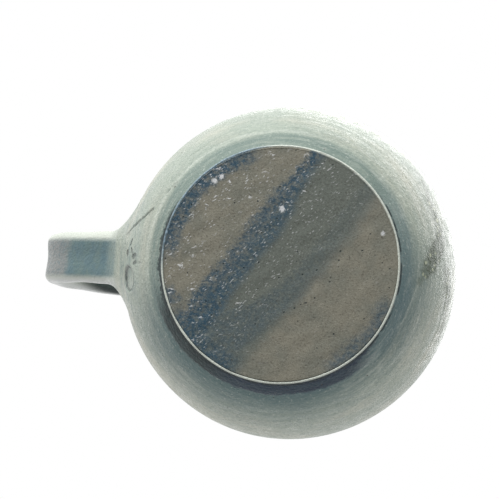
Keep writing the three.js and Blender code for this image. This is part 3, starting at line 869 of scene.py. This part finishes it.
def section_outward(share):
    """The outward direction of each point of the outline where the line has reached a share of its length."""
    place = np.asarray(share, float) * (len(LINE) - 1)
    steps = np.arange(len(LINE))
    along = [np.interp(place, steps, LINE_DIRECTIONS[:, i]) for i in (0, 1)]
    u, v = OUTLINE_OUTWARD[:, 0], OUTLINE_OUTWARD[:, 1]
    return np.stack([-v * along[1], u, -v * along[0]], axis=-1)


def build_strap():
    shares = np.linspace(UPPER_JOINT_END, LOWER_JOINT_START, STRAP_ROWS)
    grid = np.array([strap_points(s) for s in shares])
    return piece("strap", grid, SALT_GLAZE, start_pole=grid[0].mean(axis=0), end_pole=grid[-1].mean(axis=0))


def build_joint(name, start, stop, height, spread, tail):
    """A joint from the strap to the wall, flaring by spread into the wall, and by tail downwards."""
    shares = np.linspace(start, stop, 400)
    gaps = np.array([wall_distance(strap_points(s))[0] for s in shares])
    high = np.minimum(height, gaps[0])
    straight = [gaps[0] + (high - gaps[0]) * t for t in np.linspace(0, 1, 14)[:-1]]
    curved = [high * (1 - math.sin(turn)) for turn in np.linspace(0, math.pi / 2, 64)]
    downward = np.clip(-section_outward(start)[:, 2], 0, 1)
    reach = spread + (tail - spread) * downward**1.5
    rows = []
    for gap in straight + curved:
        share = np.array([np.interp(-gap[i], -gaps[:, i], shares) for i in range(STRAP_POINTS)])
        plain = strap_points(share)
        near = np.clip(1 - gap / high, 0, 1)
        flare = reach * (1 - np.sqrt(1 - near**2))
        outward = section_outward(share)
        wall_out = wall_distance(plain)[1]
        slide = outward - wall_out * ((outward * wall_out).sum(axis=1) * near)[:, None]
        slide /= np.linalg.norm(slide, axis=1, keepdims=True)
        moved = plain + slide * flare[:, None]
        new_gap, new_out = wall_distance(moved)
        rows.append(moved - new_out * (new_gap - gap)[:, None])
    sunken = rows[-1] - wall_distance(rows[-1])[1] * 0.5
    rows.append(sunken)
    grid = np.array(rows)
    grid = pressed_in(grid.reshape(-1, 3)).reshape(grid.shape)
    if stop < start:
        grid = grid[:, ::-1]
    middle = sunken.mean(axis=0)[None]
    inside = (middle - wall_distance(middle)[1])[0]
    start_pole = grid[0].mean(axis=0)
    return piece(name, grid, SALT_GLAZE, start_pole=start_pole, end_pole=inside, sharp=60)


PIECES = (
    (build_clay(), "clay_body", "stoneware_clay"),
    (build_outer_coat(), "outer_glaze_coat", "salt_glaze"),
    (build_liner(), "liner_glaze_coat", "liner_glaze"),
    (build_strap(), "strap_handle", "salt_glaze"),
    (build_joint("upper_joint", UPPER_JOINT_END, 0, height=10, spread=8, tail=12),
     "upper_handle_joint", "salt_glaze"),
    (build_joint("lower_joint", LOWER_JOINT_START, 1, height=15, spread=10, tail=46),
     "lower_handle_joint", "salt_glaze"),
)

for made, node, slot in PIECES:
    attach(made, "root")
    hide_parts(node)


# ---- Floor, light and camera ----

FLOOR_HALF = 3.0  # metres
FLOOR_GAP = 0.0006  # metres: the floor lies this far below the pitcher
CAMERA_PLACE = (65.5, 52.1, -972.5)
CAMERA_TARGET = (-21.5, -10.5, 80)
CAMERA_TURN = 4.5  # degrees
CAMERA_LENS = 149.6
CAMERA_SENSOR = 36


def build_floor():
    """A pale floor that shows only from above, so that the base can be looked at from below."""
    signs = ((-1, -1), (1, -1), (1, 1), (-1, 1))
    corners = [(FLOOR_HALF * x, FLOOR_HALF * y, -FLOOR_GAP) for x, y in signs]
    mesh = bpy.data.meshes.new("floor")
    mesh.from_pydata(corners, [], [(0, 1, 2, 3)])
    floor = bpy.data.objects.new("floor", mesh)
    bpy.context.scene.collection.objects.link(floor)
    paint = Paint("floor_paper", IOR=1.4)
    tone = paint.mix(paint.noise(60, 3), colour(238, 238, 236), colour(244, 244, 242))
    material = paint.finish(tone, 0.85, paint.bump(paint.noise(0.8, 2), 0.05))
    clear = paint.node("BsdfTransparent", {})
    behind = paint.node("NewGeometry", {}, 6)
    both = paint.node("MixShader", {0: behind, 1: paint.shader.outputs[0], 2: clear})
    paint.tree.links.new(both, paint.tree.nodes["Material Output"].inputs["Surface"])
    mesh.materials.append(material)
    floor.visible_diffuse = False
    floor.visible_glossy = False
    floor.visible_shadow = False


# How the surround's light changes with direction: towards where, from and to which share of it, and the light
# at both ends. It is dim below, and a little dim on the near side and on the far right.
LIGHT_GRADES = (
    ((0, 0, 1), -0.8, 0.15, 0.3, 1.0),
    ((0, 1, 0), -0.2, 0.9, 1.0, 0.78),
    ((0.7, -0.7, 0), 0.2, 0.95, 1.0, 0.67),
)


def build_world():
    """A surround that the camera sees as white, and that lights the pitcher softly from all sides."""
    world = bpy.data.worlds.new("studio")
    world.use_nodes = True
    bpy.context.scene.world = world
    tree = world.node_tree
    tree.nodes.clear()
    place = tree.nodes.new("ShaderNodeTexCoord")
    strength = None
    for direction, low, high, at_low, at_high in LIGHT_GRADES:
        towards = tree.nodes.new("ShaderNodeVectorMath")
        towards.operation = "DOT_PRODUCT"
        towards.inputs[1].default_value = direction
        tree.links.new(place.outputs["Generated"], towards.inputs[0])
        level = tree.nodes.new("ShaderNodeMapRange")
        level.interpolation_type = "SMOOTHSTEP"
        for socket, value in zip(level.inputs[1:5], (low, high, at_low, at_high)):
            socket.default_value = value
        tree.links.new(towards.outputs["Value"], level.inputs[0])
        if strength is None:
            strength = level.outputs[0]
            continue
        product = tree.nodes.new("ShaderNodeMath")
        product.operation = "MULTIPLY"
        tree.links.new(level.outputs[0], product.inputs[0])
        tree.links.new(strength, product.inputs[1])
        strength = product.outputs[0]
    light = tree.nodes.new("ShaderNodeBackground")
    light.inputs["Color"].default_value = (1, 1, 0.985, 1)
    tree.links.new(strength, light.inputs["Strength"])
    seen = tree.nodes.new("ShaderNodeBackground")
    seen.inputs["Color"].default_value = (1, 1, 1, 1)
    ray = tree.nodes.new("ShaderNodeLightPath")
    mix = tree.nodes.new("ShaderNodeMixShader")
    tree.links.new(ray.outputs["Is Camera Ray"], mix.inputs[0])
    tree.links.new(light.outputs[0], mix.inputs[1])
    tree.links.new(seen.outputs[0], mix.inputs[2])
    out = tree.nodes.new("ShaderNodeOutputWorld")
    tree.links.new(mix.outputs[0], out.inputs["Surface"])


def add_softbox(name, place, size, power):
    """A square light of a size in metres and a power in watts, turned towards the middle of the pitcher."""
    light = bpy.data.lights.new(name, "AREA")
    light.shape = "SQUARE"
    light.size = size
    light.energy = power
    lamp = bpy.data.objects.new(name, light)
    lamp.location = place
    middle = Vector((0, 0, BELLY_HEIGHT * MM))
    lamp.rotation_euler = (middle - lamp.location).to_track_quat("-Z", "Y").to_euler()
    bpy.context.scene.collection.objects.link(lamp)


def add_camera():
    """A long lens under the pitcher, with the view turned a little in the frame."""
    data = bpy.data.cameras.new("camera")
    data.sensor_width = CAMERA_SENSOR
    data.lens = CAMERA_LENS
    camera = bpy.data.objects.new("camera", data)
    place = Vector(CAMERA_PLACE) * MM
    looks_at = Vector(CAMERA_TARGET) * MM
    turn = math.radians(CAMERA_TURN)
    backward = (place - looks_at).normalized()
    upward = Vector((-math.sin(turn), -math.cos(turn), 0))
    right = upward.cross(backward).normalized()
    upward = backward.cross(right)
    rotation = Matrix((right, upward, backward)).transposed().to_4x4()
    camera.matrix_world = Matrix.Translation(place) @ rotation
    bpy.context.scene.collection.objects.link(camera)
    bpy.context.scene.camera = camera


build_floor()
build_world()
add_softbox("key", place=(-0.35, -1.4, -0.65), size=1.0, power=24)
add_softbox("overhead", place=(0.5, -0.6, 1.8), size=1.4, power=12)
add_camera()
bpy.context.scene.view_settings.view_transform = "Standard"
